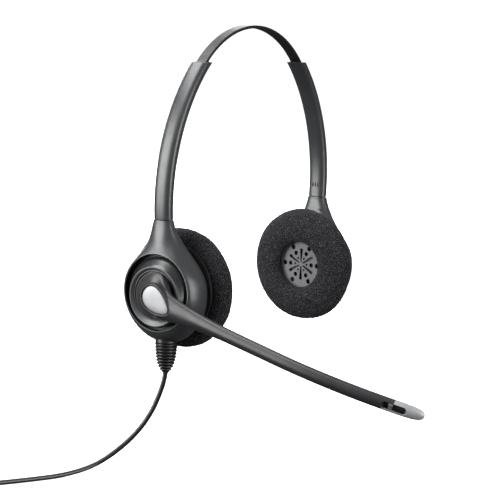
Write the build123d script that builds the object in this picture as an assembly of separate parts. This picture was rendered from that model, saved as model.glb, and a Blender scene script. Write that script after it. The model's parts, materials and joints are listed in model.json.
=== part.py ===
from build123d import *
import math
import os

os.makedirs("parts", exist_ok=True)

# Two-ear office headset with a boom microphone, in millimetres.
# +Z is up and X runs from ear to ear: the wearer's left ear is at +X, and the right ear, with the
# boom and the cord, is at -X. The boom points forward, along -Y. The origin is the middle of the
# strap's underside, where it rests on the crown of the head.

# ---- headband strap ----
STRAP_WIDTH = 6.0
STRAP_THICK = 1.5
CROWN_RADIUS = 56.6  # of the strap's centreline over the head
SIDE_RADIUS = 91.6  # of the strap's ends and of the arms that slide on them
JOIN_ANGLE = 44.4  # from the crown to the start of the side curve
STRAP_END_ANGLE = 76.0
STRAP_EDGE_ROUND = 0.5
SPRING_WIDTH = 3.6
SPRING_THICK = 0.4
SPRING_OFFSET = -0.6  # of the spring strip's middle, along Y
WIRE_RADIUS = 0.3
WIRE_OFFSET = 2.0
PART_GAP = 0.05  # between pieces that are fixed together

# ---- arms ----
ARM_WIDTH = 9.6
ARM_THICK = 5.6
ARM_CORNER = 2.0
MOUTH_Z = {"left": -17.7, "right": -15.4}  # height of the level cut at each arm's upper end
SEAM_ANGLE = 95.0  # where the arm ends and the earpiece begins
CHANNEL_WIDTH = 7.2
CHANNEL_THICK = 3.2
END_BOSS = 5.0  # solid length above the seam
GUIDE_LENGTH_ANGLE = 4.0
SLIDE_GAP = 0.15  # between the strap and the guide it runs in
SLIDER_WIDTH = 6.6
SLIDER_THICK = 2.6
SLIDER_ANGLE = 6.0
RIVET_RADIUS = 0.8
DETENT_COUNT = 9
DETENT_PITCH = 2.0  # degrees along the side curve
DETENT_RADIUS = 0.45
LEAF_THICK = 0.3
LEAF_WIDTH = 4.0
LEAF_ANGLE = 3.4
MARK_COUNT = 3
MARK_PITCH = 1.5
MARK_SIZE = (0.8, 2.6, 0.35)  # width, height and depth of a setting mark on the arm's inner face
MARK_RISE = 6.6  # of the marks above the seam

# ---- swivel between arm and earpiece ----
SWIVEL_GAP = 0.2
PIN_RADIUS = 1.1
PIN_RUN = 0.05
PIN_DEPTH = 7.0
PIN_STUB = 1.2
CLIP_RADIUS = 1.3
CLIP_THICK = 0.5
GROOVE_RADIUS = 0.7

# ---- earpiece housing ----
EAR_FORWARD = 1.7  # of the ear's axis, ahead of the headband's plane
EAR_Z = -122.9  # of the cushion, the capsule and the pocket
HOUSING_RADIUS = 22.2
HOUSING_Z = -123.7
BACK_X = 60.0
RIM_X = {"left": 72.4, "right": 73.8}
WAIST = {  # how far the outline draws in, at each distance from the middle of the head
    "left": ((BACK_X, 0.5), (62.0, 0.0), (66.0, 0.9), (70.0, 3.0), (RIM_X["left"], 5.6)),
    "right": ((BACK_X, 0.5), (62.0, 0.0), (67.5, 0.2), (RIM_X["right"], 2.3)),
}
WALL = 1.6
NECK_END_Z = -104.0
FLANK_ANGLE = 32.0
CAVITY_TOP_Z = -100.0
POCKET_RADIUS = {"left": 12.4, "right": 18.2}
POCKET_DEPTH = {"left": 1.6, "right": 3.5}
POCKET_LIP = 0.6
FRONT_HOLE_RADIUS = {"left": 6.0, "right": 12.0}
NECK_HOLE_RADIUS = 1.2
NECK_HOLE_Z = -97.6

# ---- turret, cap and boom hub ----
HUB_Z = -124.1
TURRET_RISE = 1.7  # of the turret's lip above the housing's rim
TURRET_LIP_RADIUS = 14.6
POCKET_GAP = 0.6  # round the turret or the cap in its pocket
TURRET_BASE_THICK = 1.5
CAP_RISE = 0.9
CAP_ROUND = 4.0
LIP_WIDTH = 0.8
DISH_RADIUS = 11.4
DISH_DEPTH = 2.3
SHAFT_RADIUS = 4.0
SHAFT_RUN = 0.05
SHAFT_BORE = 2.0
SHAFT_GROOVE_RADIUS = 3.4
HUB_RADIUS = 10.9
HUB_FLANGE = 1.4
HUB_GAP = 0.2
WASHER_RADIUS = 8.0
WASHER_THICK = 0.5
BOOM_CLIP_RADIUS = 6.0
BOOM_CLIP_THICK = 0.6

# ---- boom ----
BOOM_X = 78.4
BOOM_DROP = 1.4  # of the boom's centreline below the hub's axis
BOOM_PITCH = 14.0  # below the horizontal
BOOM_STRAIGHT = 75.0
BOOM_BEND_RADIUS = 212.0
BOOM_LENGTH = 148.8
BOOM_HEIGHT = 6.4
BOOM_DEPTH = 5.0
BOOM_FLARE = 46.0
BOOM_ROOT_HEIGHT = 17.0
BOOM_ROOT_DEPTH = 5.0
BOOM_BORE = 1.5
CORE_RADIUS = 1.35
DOME_TOP_RADIUS = 7.6
DOME_TOP_X = 81.0
DOME_TOP_ALONG = 3.6
INSERT_LENGTH = 15.0
INSERT_WIDTH = 10.4
INSERT_THICK = 1.4
INSERT_ALONG = 5.6
INSERT_RISE = 1.3
INSERT_TILT = 15.0  # of its long axis below the boom
INSERT_GAP = 0.3
CORE_CLEAR = 0.6  # of the core beyond the insert
CAP_LENGTH = 14.3
CAP_NOSE = 4.6
SLOT_LENGTH = 10.5
SLOT_HEIGHT = 3.4
SLOT_DEPTH = 1.5
MIC_RADIUS = 1.9
MIC_THICK = 2.0
BOOT_WALL = 0.35

# ---- receiver capsule and cushion ----
CAPSULE_RADIUS = 19.0
CAPSULE_WALL = 1.5
CAPSULE_FRONT_X = 50.9
CAPSULE_FRONT_WALL = 1.2
FLANGE_RADIUS = 22.0
FLANGE_THICK = 1.3
GRILLE_RADIUS = 12.4
GRILLE_THICK = 0.7
GRILLE_OPENING = 11.3
SLOT_COUNT = 6
SLOT_RADII = (1.2, 8.3)  # inner and outer end of a grille slot
SLOT_WIDTHS = (0.7, 1.7)
HOLE_ROW = ((3.5, 0.6), (6.4, 1.15), (9.85, 1.3))  # distance from the middle, and radius
BASKET_RADIUS = 17.4
BASKET_X = 52.5
DIAPHRAGM_THICK = 0.3
CONE_RISE = 0.45
CUP_RADIUS = 9.0
CUP_WALL = 1.0
CUP_X = (54.2, 58.6)
MAGNET_RADIUS = 6.8
TOP_PLATE_THICK = 0.8
COIL_RADII = (7.15, 7.6)
COIL_LENGTH = 2.6
CUSHION_RADIUS = 28.8
CUSHION_HOLE = 10.6
CUSHION_FRONT_X = 45.6
CUSHION_WIDE_X = 52.6
CUSHION_BACK_X = 57.5
SOFT_GAP = 0.3
SCREW_COUNT = 3
SCREW_CIRCLE = 20.4
SCREW_RADIUS = 0.8
SCREW_HEAD_RADIUS = 1.4
SCREW_HEAD_THICK = 0.8
SCREW_LENGTH = 4.5
BOSS_RADIUS = 1.9
BOARD_SIZE = (1.0, 16.0, 9.0)
BOARD_Z = -136.0

# ---- cord, strain relief and connector ----
EXIT_X = -65.2
EXIT_Y = -2.3
COLLAR_RADIUS = 5.0
COLLAR_DROP = 1.7  # of the collar below the housing
RELIEF_BOTTOM_Z = -162.4
RELIEF_TOP_RADIUS = 5.0
RELIEF_BOTTOM_RADIUS = 2.4
RELIEF_NECK_RADIUS = 2.6
RELIEF_FLANGE = (6.2, 10.0, 1.2)
RIB_COUNT = 9
RIB_SHARE = 0.6  # of the pitch
RIB_DEPTH = 0.7
CORD_DIAMETER = 2.4
FLOOR_Z = -212.0
COIL_CENTRE = (-138.0, 62.5)
COIL_MID_RADIUS = 13.4
COIL_LAYERS = 3
COIL_ENTRY_ANGLE = -116.6  # where the cord meets the coil's outer turn, which runs clockwise
TAIL_LENGTH = 22.0
CONNECTOR_SIZE = (38.0, 12.6, 8.4)
CONNECTOR_CORNER = 3.0
CONNECTOR_WALL = 1.2
CONNECTOR_TONGUE = (7.0, 8.0, 3.6)
CONTACT_COUNT = 4
CONTACT_SIZE = (4.4, 0.9, 0.4)
CONTACT_PITCH = 1.7
BOOT_LENGTH = 9.0
BOOT_RADII = (1.8, 2.8)  # at the cord and at the connector

# ---- derived places ----
APEX_Z = STRAP_THICK / 2
J = math.radians(JOIN_ANGLE)
CROWN_CENTRE = (0.0, APEX_Z - CROWN_RADIUS)
SIDE_CENTRE = (
    (CROWN_RADIUS - SIDE_RADIUS) * math.sin(J),
    APEX_Z - CROWN_RADIUS + (CROWN_RADIUS - SIDE_RADIUS) * math.cos(J),
)
S = math.radians(SEAM_ANGLE)
SEAM = Vector(SIDE_CENTRE[0] + SIDE_RADIUS * math.sin(S), 0, SIDE_CENTRE[1] + SIDE_RADIUS * math.cos(S))
SWIVEL_AXIS = Vector(math.cos(S), 0, -math.sin(S))  # points down, away from the arm
EAR_Y = -EAR_FORWARD
POCKET_X = {side: RIM_X[side] - POCKET_DEPTH[side] for side in RIM_X}
LIP_X = RIM_X["right"] + TURRET_RISE
DISH_X = LIP_X - DISH_DEPTH
COVER_X = BACK_X + WALL
COLLAR_Z = HOUSING_Z - HOUSING_RADIUS - COLLAR_DROP
CORE_START = INSERT_ALONG + INSERT_LENGTH / 2 + CORE_CLEAR
CORD_RADIUS = CORD_DIAMETER / 2
COIL_SIDE = COIL_LAYERS * CORD_DIAMETER


def curve_plane(curve, angle):
    """A plane across one of the headband's curves: local x is outward, local y is along Y."""
    a = math.radians(angle)
    (cx, cz), radius = curve
    return Plane(
        origin=(cx + radius * math.sin(a), 0, cz + radius * math.cos(a)),
        x_dir=(math.sin(a), 0, math.cos(a)),
        z_dir=(-math.cos(a), 0, math.sin(a)),
    )


def bent_bar(section, curve, start, end):
    """A section, drawn as (outward, along Y), turned about one of the headband's curve centres."""
    cx, cz = curve[0]
    return revolve(curve_plane(curve, start) * section, Axis((cx, 0, cz), (0, 1, 0)), end - start)


CROWN = (CROWN_CENTRE, CROWN_RADIUS)
SIDE = (SIDE_CENTRE, SIDE_RADIUS)


def arc_degrees(length):
    """The angle that a length along the side curve takes."""
    return math.degrees(length / SIDE_RADIUS)


def side_plane(angle):
    return curve_plane(SIDE, angle)


def along_x(radius, x_start, x_end, y=EAR_Y, z=EAR_Z):
    """A cylinder along X between two planes."""
    return Plane(origin=(x_start, y, z), z_dir=(1, 0, 0)) * extrude(Circle(radius), x_end - x_start)


def ring_x(outer, inner, x_start, x_end):
    return along_x(outer, x_start, x_end) - along_x(inner, x_start - 1, x_end + 1)


def turned_about_ear(section):
    """A section drawn as (x, radius), turned about the ear's axis."""
    placed = Plane(origin=(0, EAR_Y, EAR_Z), x_dir=(1, 0, 0), z_dir=(0, -1, 0)) * section
    return revolve(placed, Axis((0, EAR_Y, EAR_Z), (1, 0, 0)), 360)


def other_side(shape):
    return mirror(shape, about=Plane.YZ)


# ---- headband ----


def full_band(section, end_angle):
    crown = bent_bar(section, CROWN, -JOIN_ANGLE, JOIN_ANGLE)
    side = bent_bar(section, SIDE, JOIN_ANGLE, end_angle)
    return crown + side + other_side(side)


def rivet_holes(radius):
    """The rivet through each end of the strap, as a pair of short rods."""
    rod = side_plane(STRAP_END_ANGLE - SLIDER_ANGLE / 2) * Pos(0, SPRING_OFFSET, 0) * Rot(0, 90, 0)
    left = rod * Cylinder(radius, SLIDER_THICK)
    return left, other_side(left)


def headband_strap():
    band = RectangleRounded(STRAP_THICK, STRAP_WIDTH, STRAP_EDGE_ROUND)
    band -= Pos(0, SPRING_OFFSET) * Rectangle(SPRING_THICK + 2 * PART_GAP, SPRING_WIDTH + 2 * PART_GAP)
    band -= Pos(0, WIRE_OFFSET) * Circle(WIRE_RADIUS + PART_GAP)
    left, right = rivet_holes(RIVET_RADIUS + PART_GAP)
    return full_band(band, STRAP_END_ANGLE) - left - right


def headband_spring():
    left, right = rivet_holes(RIVET_RADIUS + PART_GAP)
    strip = Pos(0, SPRING_OFFSET) * Rectangle(SPRING_THICK, SPRING_WIDTH)
    return full_band(strip, STRAP_END_ANGLE) - left - right


def link_wire():
    return full_band(Pos(0, WIRE_OFFSET) * Circle(WIRE_RADIUS), STRAP_END_ANGLE)


def slider():
    outline = RectangleRounded(SLIDER_THICK, SLIDER_WIDTH, 0.6)
    block = bent_bar(outline, SIDE, STRAP_END_ANGLE - SLIDER_ANGLE, STRAP_END_ANGLE)
    pocket = Rectangle(STRAP_THICK + 2 * PART_GAP, STRAP_WIDTH + 2 * PART_GAP)
    block -= bent_bar(pocket, SIDE, STRAP_END_ANGLE - SLIDER_ANGLE - 1, STRAP_END_ANGLE + 1)
    return block - rivet_holes(RIVET_RADIUS + PART_GAP)[0]


def slider_rivets():
    left, right = rivet_holes(RIVET_RADIUS)
    return Compound(children=[left, right])


def detent_leaf():
    """A spring leaf at the strap's end, with a nose that clicks into the cover's notches."""
    start = STRAP_END_ANGLE + arc_degrees(PART_GAP)
    leaf = bent_bar(Rectangle(LEAF_THICK, LEAF_WIDTH), SIDE, start, start + LEAF_ANGLE)
    reach = CHANNEL_THICK / 2 - PART_GAP
    nose = side_plane(start + LEAF_ANGLE) * Pos(-reach / 2, 0, 0) * Box(reach, LEAF_WIDTH, LEAF_THICK)
    tip = side_plane(start + LEAF_ANGLE) * Pos(DETENT_RADIUS - reach - 0.1, 0, 0) * Rot(90, 0, 0)
    return leaf + nose + tip * Cylinder(DETENT_RADIUS - PART_GAP, LEAF_WIDTH)


# ---- arms ----

ARM_SECTION = RectangleRounded(ARM_THICK, ARM_WIDTH, ARM_CORNER)
ARM_START = 38.0  # above the level cut, so that the cut decides where the arm ends
CHANNEL_END = SEAM_ANGLE - arc_degrees(END_BOSS)
GUIDE_START = JOIN_ANGLE - 1.5
DETENT_START = STRAP_END_ANGLE + arc_degrees(PART_GAP) + LEAF_ANGLE


def below_mouth(shape, side, drop=0.0):
    top = MOUTH_Z[side] - drop
    return shape - Pos(0, 0, top + 50) * Box(400, 100, 100)


def arm_side_of_cover(gap):
    """The part of the arm's section that lies inward of the channel, where the cover goes."""
    depth = ARM_THICK / 2 - CHANNEL_THICK / 2 - gap
    return Pos(-ARM_THICK / 2 + depth / 2, 0) * Rectangle(depth, ARM_WIDTH)


def arm_shell(side):
    body = bent_bar(ARM_SECTION, SIDE, ARM_START, SEAM_ANGLE)
    body -= bent_bar(Rectangle(CHANNEL_THICK, CHANNEL_WIDTH), SIDE, ARM_START - 1, CHANNEL_END)
    body -= bent_bar(arm_side_of_cover(0), SIDE, ARM_START - 1, CHANNEL_END)
    body -= Plane(origin=SEAM, z_dir=-SWIVEL_AXIS) * Cylinder(PIN_RADIUS + PIN_RUN, 3 * END_BOSS)
    return below_mouth(body, side)


def arm_cover(side):
    section = ARM_SECTION & arm_side_of_cover(PART_GAP)
    plate = bent_bar(section, SIDE, ARM_START, CHANNEL_END - arc_degrees(PART_GAP))
    for i in range(DETENT_COUNT):
        notch = side_plane(DETENT_START - i * DETENT_PITCH) * Pos(-CHANNEL_THICK / 2, 0, 0) * Rot(90, 0, 0)
        plate -= notch * Cylinder(DETENT_RADIUS, LEAF_WIDTH + 0.6)
    width, height, depth = MARK_SIZE
    for i in range(MARK_COUNT):
        row = side_plane(SEAM_ANGLE - arc_degrees(MARK_RISE))
        place = row * Pos(-ARM_THICK / 2, (i - 1) * MARK_PITCH, 0)
        plate -= place * Box(2 * depth, width, height)
    return below_mouth(plate, side)


def arm_guide(side):
    """The bush in the arm's mouth that the strap runs in."""
    section = Rectangle(CHANNEL_THICK - 2 * PART_GAP, CHANNEL_WIDTH - 2 * PART_GAP)
    section -= Rectangle(STRAP_THICK + 2 * SLIDE_GAP, STRAP_WIDTH + 2 * SLIDE_GAP)
    bush = bent_bar(section, SIDE, GUIDE_START, GUIDE_START + GUIDE_LENGTH_ANGLE)
    return below_mouth(bush, side, 0.3)


# ---- swivel ----


def swivel_cylinder(radius, start, end):
    """A cylinder on the swivel's axis, from start to end along it, counted from the seam."""
    return Plane(origin=SEAM + SWIVEL_AXIS * start, z_dir=SWIVEL_AXIS) * extrude(Circle(radius), end - start)


CLIP_START = -END_BOSS - 0.25 - CLIP_THICK


def swivel_pin():
    pin = swivel_cylinder(PIN_RADIUS, -END_BOSS - PIN_STUB - 0.4, PIN_DEPTH)
    groove = swivel_cylinder(2 * PIN_RADIUS, CLIP_START - PART_GAP, CLIP_START + CLIP_THICK + PART_GAP)
    groove -= swivel_cylinder(GROOVE_RADIUS, CLIP_START - 1, CLIP_START + CLIP_THICK + 1)
    return pin - groove


def swivel_clip():
    ring = swivel_cylinder(CLIP_RADIUS, CLIP_START, CLIP_START + CLIP_THICK)
    ring -= swivel_cylinder(GROOVE_RADIUS + PART_GAP, CLIP_START - 1, CLIP_START + CLIP_THICK + 1)
    slot = Plane(origin=SEAM + SWIVEL_AXIS * (CLIP_START + CLIP_THICK / 2), z_dir=SWIVEL_AXIS)
    return ring - slot * Pos(0, CLIP_RADIUS, 0) * Box(GROOVE_RADIUS * 1.6, 2 * CLIP_RADIUS, 2 * CLIP_THICK)


# ---- earpiece housing ----


def housing_outline(inset):
    """The teardrop seen from the side, drawn as (y, z): a disc with a neck that flares into it."""
    radius = HOUSING_RADIUS - inset
    half_neck = max(ARM_WIDTH / 2 - inset, 1.0)
    top = SEAM.Z + 1.0
    f = math.radians(FLANK_ANGLE)
    low = (EAR_Y + radius * math.cos(f), HOUSING_Z + radius * math.sin(f))
    low_front = (EAR_Y - radius * math.cos(f), low[1])
    return make_face(
        Line((-half_neck, top), (half_neck, top))
        + Spline([(half_neck, top), low], tangents=[(0.05, -1), (math.sin(f), -math.cos(f))])
        + ThreePointArc(low, (EAR_Y, HOUSING_Z - radius), low_front)
        + Spline([low_front, (-half_neck, top)], tangents=[(math.sin(f), math.cos(f)), (0.05, 1)])
    )


def housing_block(side, inset):
    """The teardrop body: its outlines lofted from back to rim, crossed with the neck's profile."""
    top = SEAM.Z + 1.0
    outer_top = SEAM.X + ARM_THICK / 2 - inset
    inner_top = SEAM.X - ARM_THICK / 2 + inset
    outer, inner = RIM_X[side] - inset, BACK_X + inset
    bottom = HOUSING_Z - HOUSING_RADIUS - 1
    profile = make_face(
        Line((inner_top, top), (outer_top, top))
        + Spline([(outer_top, top), (outer, NECK_END_Z)], tangents=[(0.05, -1), (0.1, -1)])
        + Polyline((outer, NECK_END_Z), (outer, bottom), (inner, bottom), (inner, NECK_END_Z))
        + Spline([(inner, NECK_END_Z), (inner_top, top)], tangents=[(0, 1), (0.05, 1)])
    )
    outlines = [Plane.YZ.offset(x) * housing_outline(waist + inset) for x, waist in WAIST[side]]
    slab = loft(outlines, ruled=True)
    wedge = Plane.XZ * extrude(profile, 2 * HOUSING_RADIUS, both=True)
    return slab & wedge


def below_seam(shape):
    cut = Plane(origin=SEAM + SWIVEL_AXIS * SWIVEL_GAP, z_dir=-SWIVEL_AXIS)
    return shape - cut * Pos(0, 0, 10) * Box(60, 60, 20)


def screw_places():
    """Where the screws stand round the ear's axis, as (y, z)."""
    for i in range(SCREW_COUNT):
        a = math.radians(90 + 360 * i / SCREW_COUNT)
        yield EAR_Y + SCREW_CIRCLE * math.cos(a), EAR_Z + SCREW_CIRCLE * math.sin(a)


def cover_space(side, inset):
    """The slice of the housing that its inner cover fills."""
    low_z = HOUSING_Z - 2 * HOUSING_RADIUS
    slice_size = (5 + WALL - inset, 4 * HOUSING_RADIUS, CAVITY_TOP_Z - low_z - inset)
    corner = (Align.MIN, Align.CENTER, Align.MIN)
    return housing_block(side, 0) & Pos(BACK_X - 5, 0, low_z) * Box(*slice_size, align=corner)


def collar(radius):
    low = (Align.CENTER, Align.CENTER, Align.MIN)
    return Pos(-EXIT_X, EXIT_Y, COLLAR_Z) * Cylinder(radius, 7, align=low)


def housing_shell(side):
    block = housing_block(side, 0)
    shell = block - cover_space(side, 0)
    depth = POCKET_X[side] - WALL - COVER_X
    cavity = Pos(COVER_X, 0, CAVITY_TOP_Z) * Box(depth, 90, 90, align=(Align.MIN, Align.CENTER, Align.MAX))
    cavity = cavity & housing_block(side, WALL)
    shell -= cavity
    for y, z in screw_places():
        shell += along_x(BOSS_RADIUS, COVER_X, POCKET_X[side] - WALL / 2, y, z) & block
        shell -= along_x(SCREW_RADIUS, COVER_X - 1, BACK_X + SCREW_LENGTH, y, z)
    rim_x, radius = RIM_X[side], POCKET_RADIUS[side]
    shell -= along_x(radius, POCKET_X[side], rim_x + 5)
    shell -= along_x(radius + POCKET_LIP, rim_x - POCKET_LIP, rim_x + 5)
    shell -= along_x(FRONT_HOLE_RADIUS[side], COVER_X, rim_x, EAR_Y, HUB_Z)
    shell -= swivel_cylinder(PIN_RADIUS + 0.02, -5, PIN_DEPTH)
    shell -= along_x(NECK_HOLE_RADIUS, 0, BACK_X + 3.5, 0, NECK_HOLE_Z)
    if side == "right":
        shell += collar(COLLAR_RADIUS) - cover_space(side, 0) - cavity
        shell -= collar(RELIEF_NECK_RADIUS + PART_GAP)
    return below_seam(shell)


def housing_cover(side):
    cover = cover_space(side, PART_GAP)
    for y, z in screw_places():
        cover -= along_x(SCREW_RADIUS + PART_GAP, BACK_X - 1, COVER_X + 1, y, z)
    if side == "right":
        cover -= collar(COLLAR_RADIUS + PART_GAP)
    return cover


def cover_screws():
    screws = []
    for y, z in screw_places():
        head_x = BACK_X - FLANGE_THICK - PART_GAP
        head = along_x(SCREW_HEAD_RADIUS, head_x - SCREW_HEAD_THICK, head_x, y, z)
        screws.append(head + along_x(SCREW_RADIUS - 0.02, head_x, BACK_X + SCREW_LENGTH - 0.5, y, z))
    return Compound(children=screws)


# ---- receiver capsule ----


def capsule_frame():
    back = BACK_X - PART_GAP
    cup = along_x(CAPSULE_RADIUS, CAPSULE_FRONT_X, back)
    cup += along_x(FLANGE_RADIUS, back - FLANGE_THICK + PART_GAP, back)
    cup -= along_x(CAPSULE_RADIUS - CAPSULE_WALL, CAPSULE_FRONT_X + CAPSULE_FRONT_WALL, back + 1)
    cup -= along_x(GRILLE_OPENING, CAPSULE_FRONT_X - 1, back)
    cup -= along_x(GRILLE_RADIUS + PART_GAP, CAPSULE_FRONT_X - 1, CAPSULE_FRONT_X + GRILLE_THICK - 0.2)
    for y, z in screw_places():
        cup -= along_x(SCREW_RADIUS + PART_GAP, back - 3, back + 1, y, z)
        cup -= along_x(SCREW_HEAD_RADIUS + PART_GAP, back - 3, back - FLANGE_THICK + PART_GAP, y, z)
    return cup


def grille():
    front = CAPSULE_FRONT_X - 0.2
    disc = along_x(GRILLE_RADIUS, front, front + GRILLE_THICK)
    plane = Plane(origin=(front - 1, EAR_Y, EAR_Z), x_dir=(0, 1, 0), z_dir=(1, 0, 0))
    inner, outer = SLOT_RADII
    narrow, wide = SLOT_WIDTHS
    for i in range(SLOT_COUNT):
        slot = make_face(
            Polyline(
                (inner, -narrow / 2), (outer - wide / 2, -wide / 2), (outer - wide / 2, wide / 2),
                (inner, narrow / 2), (inner, -narrow / 2),
            )
        )
        slot += Pos(outer - wide / 2, 0) * Circle(wide / 2)
        step = 360 / SLOT_COUNT
        disc -= plane * extrude(Rot(0, 0, 90 + i * step) * slot, 3)
        for distance, radius in HOLE_ROW:
            disc -= plane * Rot(0, 0, i * step) * Pos(distance, 0, 0) * extrude(Circle(radius), 3)
    return disc


def diaphragm():
    """A thin shallow cone with a flat surround, glued to the basket's rim."""
    front, back, hub = BASKET_X - DIAPHRAGM_THICK, BASKET_X, COIL_RADII[1]
    section = make_face(
        Polyline(
            (front - CONE_RISE, 0), (front, hub), (front, BASKET_RADIUS), (back, BASKET_RADIUS),
            (back, hub), (back - CONE_RISE, 0), (front - CONE_RISE, 0),
        )
    )
    return turned_about_ear(section)


def driver_basket():
    """The frame that carries the diaphragm at its rim and the magnet cup in its middle."""
    rim = ring_x(BASKET_RADIUS, BASKET_RADIUS - 1.2, BASKET_X, CUP_X[0] + 1)
    web = ring_x(BASKET_RADIUS, CUP_RADIUS + PART_GAP, CUP_X[0], CUP_X[0] + 1)
    for i in range(SLOT_COUNT):
        a = math.radians(360 * i / SLOT_COUNT)
        middle = (CUP_RADIUS + BASKET_RADIUS) / 2
        web -= along_x(1.8, 0, CUP_X[1], EAR_Y + middle * math.cos(a), EAR_Z + middle * math.sin(a))
    return rim + web


def magnet_yoke():
    """The steel cup round the magnet, and the pole plate on the magnet's front."""
    cup = along_x(CUP_RADIUS, *CUP_X) - along_x(CUP_RADIUS - CUP_WALL, CUP_X[0] - 1, CUP_X[1] - CUP_WALL)
    plate = along_x(MAGNET_RADIUS, CUP_X[0], CUP_X[0] + TOP_PLATE_THICK)
    return Compound(children=[cup, plate])


def magnet():
    return along_x(MAGNET_RADIUS, CUP_X[0] + TOP_PLATE_THICK, CUP_X[1] - CUP_WALL)


def voice_coil():
    inner, outer = COIL_RADII
    return ring_x(outer, inner, BASKET_X, BASKET_X + COIL_LENGTH)


def cushion():
    """The foam pad: a rounded ring that wraps the capsule and leaves the grille open."""
    front, wide, back = CUSHION_FRONT_X, CUSHION_WIDE_X, CUSHION_BACK_X
    lip_x = CAPSULE_FRONT_X - 0.2 - SOFT_GAP
    body_radius = CAPSULE_RADIUS + SOFT_GAP
    crest = (CUSHION_HOLE + body_radius) / 2 + 1.5
    edge = CUSHION_RADIUS
    section = make_face(
        Spline(
            [
                (lip_x, CUSHION_HOLE), (front, crest), (front + 2.3, edge - 3.2),
                (wide, edge), (back, edge - 3.4),
            ],
            tangents=[(-1, 0.1), (0.6, -1)],
        )
        + Polyline((back, edge - 3.4), (back, body_radius), (lip_x, body_radius), (lip_x, CUSHION_HOLE))
    )
    return turned_about_ear(section)


def terminal_board():
    thick, width, height = BOARD_SIZE
    return Pos(COVER_X + PART_GAP + thick / 2, EAR_Y, BOARD_Z) * Box(thick, width, height)


# ---- turret on the boom's side, plain cap on the other ----


def pocket_disc(side, thick):
    radius = POCKET_RADIUS[side] - POCKET_GAP
    return along_x(radius, POCKET_X[side], POCKET_X[side] + thick)


def disc_at(x, radius, z):
    return Plane(origin=(x, EAR_Y, z), z_dir=(1, 0, 0)) * Circle(radius)


def turret_base():
    """The stepped turret that the boom turns in: a cone up to its lip, with a dish inside the lip."""
    base_x = POCKET_X["right"] + TURRET_BASE_THICK
    base = disc_at(base_x, POCKET_RADIUS["right"] - POCKET_GAP, EAR_Z)
    body = pocket_disc("right", TURRET_BASE_THICK) + loft([base, disc_at(LIP_X, TURRET_LIP_RADIUS, HUB_Z)])
    dish_lip = disc_at(LIP_X, TURRET_LIP_RADIUS - LIP_WIDTH, HUB_Z)
    body -= loft([disc_at(DISH_X, DISH_RADIUS, HUB_Z), dish_lip])
    return body - along_x(SHAFT_RADIUS + SHAFT_RUN, POCKET_X["right"] - 1, LIP_X + 1, EAR_Y, HUB_Z)


def side_cap():
    """The cap that closes the pocket on the side without a boom."""
    rim = POCKET_X["left"] + POCKET_DEPTH["left"]
    radius = POCKET_RADIUS["left"] - POCKET_GAP
    dome = loft([disc_at(rim, radius, EAR_Z), disc_at(rim + CAP_RISE, radius - CAP_ROUND, EAR_Z)])
    return pocket_disc("left", POCKET_DEPTH["left"]) + dome


# ---- boom hub, on the wearer's right, so at -X ----


def hub_cylinder(radius, x_start, x_end):
    return other_side(along_x(radius, x_start, x_end, EAR_Y, HUB_Z))


WASHER_X = POCKET_X["right"] - HUB_GAP - WASHER_THICK
BOOM_CLIP_X = WASHER_X - 0.1 - BOOM_CLIP_THICK
HUB_X = DISH_X + HUB_GAP


def boom_hub():
    hub = hub_cylinder(SHAFT_RADIUS, BOOM_CLIP_X - 1.2, HUB_X)
    hub += hub_cylinder(HUB_RADIUS, HUB_X, HUB_X + HUB_FLANGE)
    groove = hub_cylinder(2 * SHAFT_RADIUS, BOOM_CLIP_X - PART_GAP, BOOM_CLIP_X + BOOM_CLIP_THICK + PART_GAP)
    groove -= hub_cylinder(SHAFT_GROOVE_RADIUS, BOOM_CLIP_X - 1, BOOM_CLIP_X + 2)
    return hub - groove - hub_cylinder(SHAFT_BORE, 0, 2 * HUB_X)


def detent_washer():
    ring = hub_cylinder(WASHER_RADIUS, WASHER_X, WASHER_X + WASHER_THICK)
    return ring - hub_cylinder(SHAFT_RADIUS + PART_GAP, 0, 2 * HUB_X)


def boom_clip():
    ring = hub_cylinder(BOOM_CLIP_RADIUS, BOOM_CLIP_X, BOOM_CLIP_X + BOOM_CLIP_THICK)
    ring -= hub_cylinder(SHAFT_GROOVE_RADIUS + PART_GAP, 0, 2 * HUB_X)
    return ring - Pos(-BOOM_CLIP_X, EAR_Y, HUB_Z - BOOM_CLIP_RADIUS) * Box(5, 4.5, 2 * BOOM_CLIP_RADIUS)


# ---- boom: its own plane has x along the boom, y inward and z up across it ----

P = math.radians(BOOM_PITCH)
BOOM_PLANE = Plane(
    origin=(-BOOM_X, EAR_Y, HUB_Z - BOOM_DROP),
    x_dir=(0, -math.cos(P), -math.sin(P)),
    z_dir=(0, -math.sin(P), math.cos(P)),
)


def boom_frame(s):
    """The plane across the boom at a distance s along it: local x is inward, local y is up."""
    turn = max(0.0, s - BOOM_STRAIGHT) / BOOM_BEND_RADIUS
    x = min(s, BOOM_STRAIGHT) + BOOM_BEND_RADIUS * math.sin(turn)
    y = BOOM_BEND_RADIUS * (1 - math.cos(turn))
    inward, along = (-math.sin(turn), math.cos(turn), 0), (math.cos(turn), math.sin(turn), 0)
    return Plane(origin=(x, y, 0), x_dir=inward, z_dir=along)


def boom_stretch(section, start, end):
    """A section carried along the boom's centreline, in the boom's own plane."""
    bar = None
    if start < BOOM_STRAIGHT:
        bar = boom_frame(start) * extrude(section, min(end, BOOM_STRAIGHT) - start)
    if end > BOOM_STRAIGHT:
        first = max(start, BOOM_STRAIGHT)
        centre = Axis((BOOM_STRAIGHT, BOOM_BEND_RADIUS, 0), (0, 0, 1))
        bend = revolve(boom_frame(first) * section, centre, math.degrees((end - first) / BOOM_BEND_RADIUS))
        bar = bend if bar is None else bar + bend
    return bar


CAP_START = BOOM_LENGTH - CAP_LENGTH
ARM_OVAL = Ellipse(BOOM_DEPTH / 2, BOOM_HEIGHT / 2)


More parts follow.
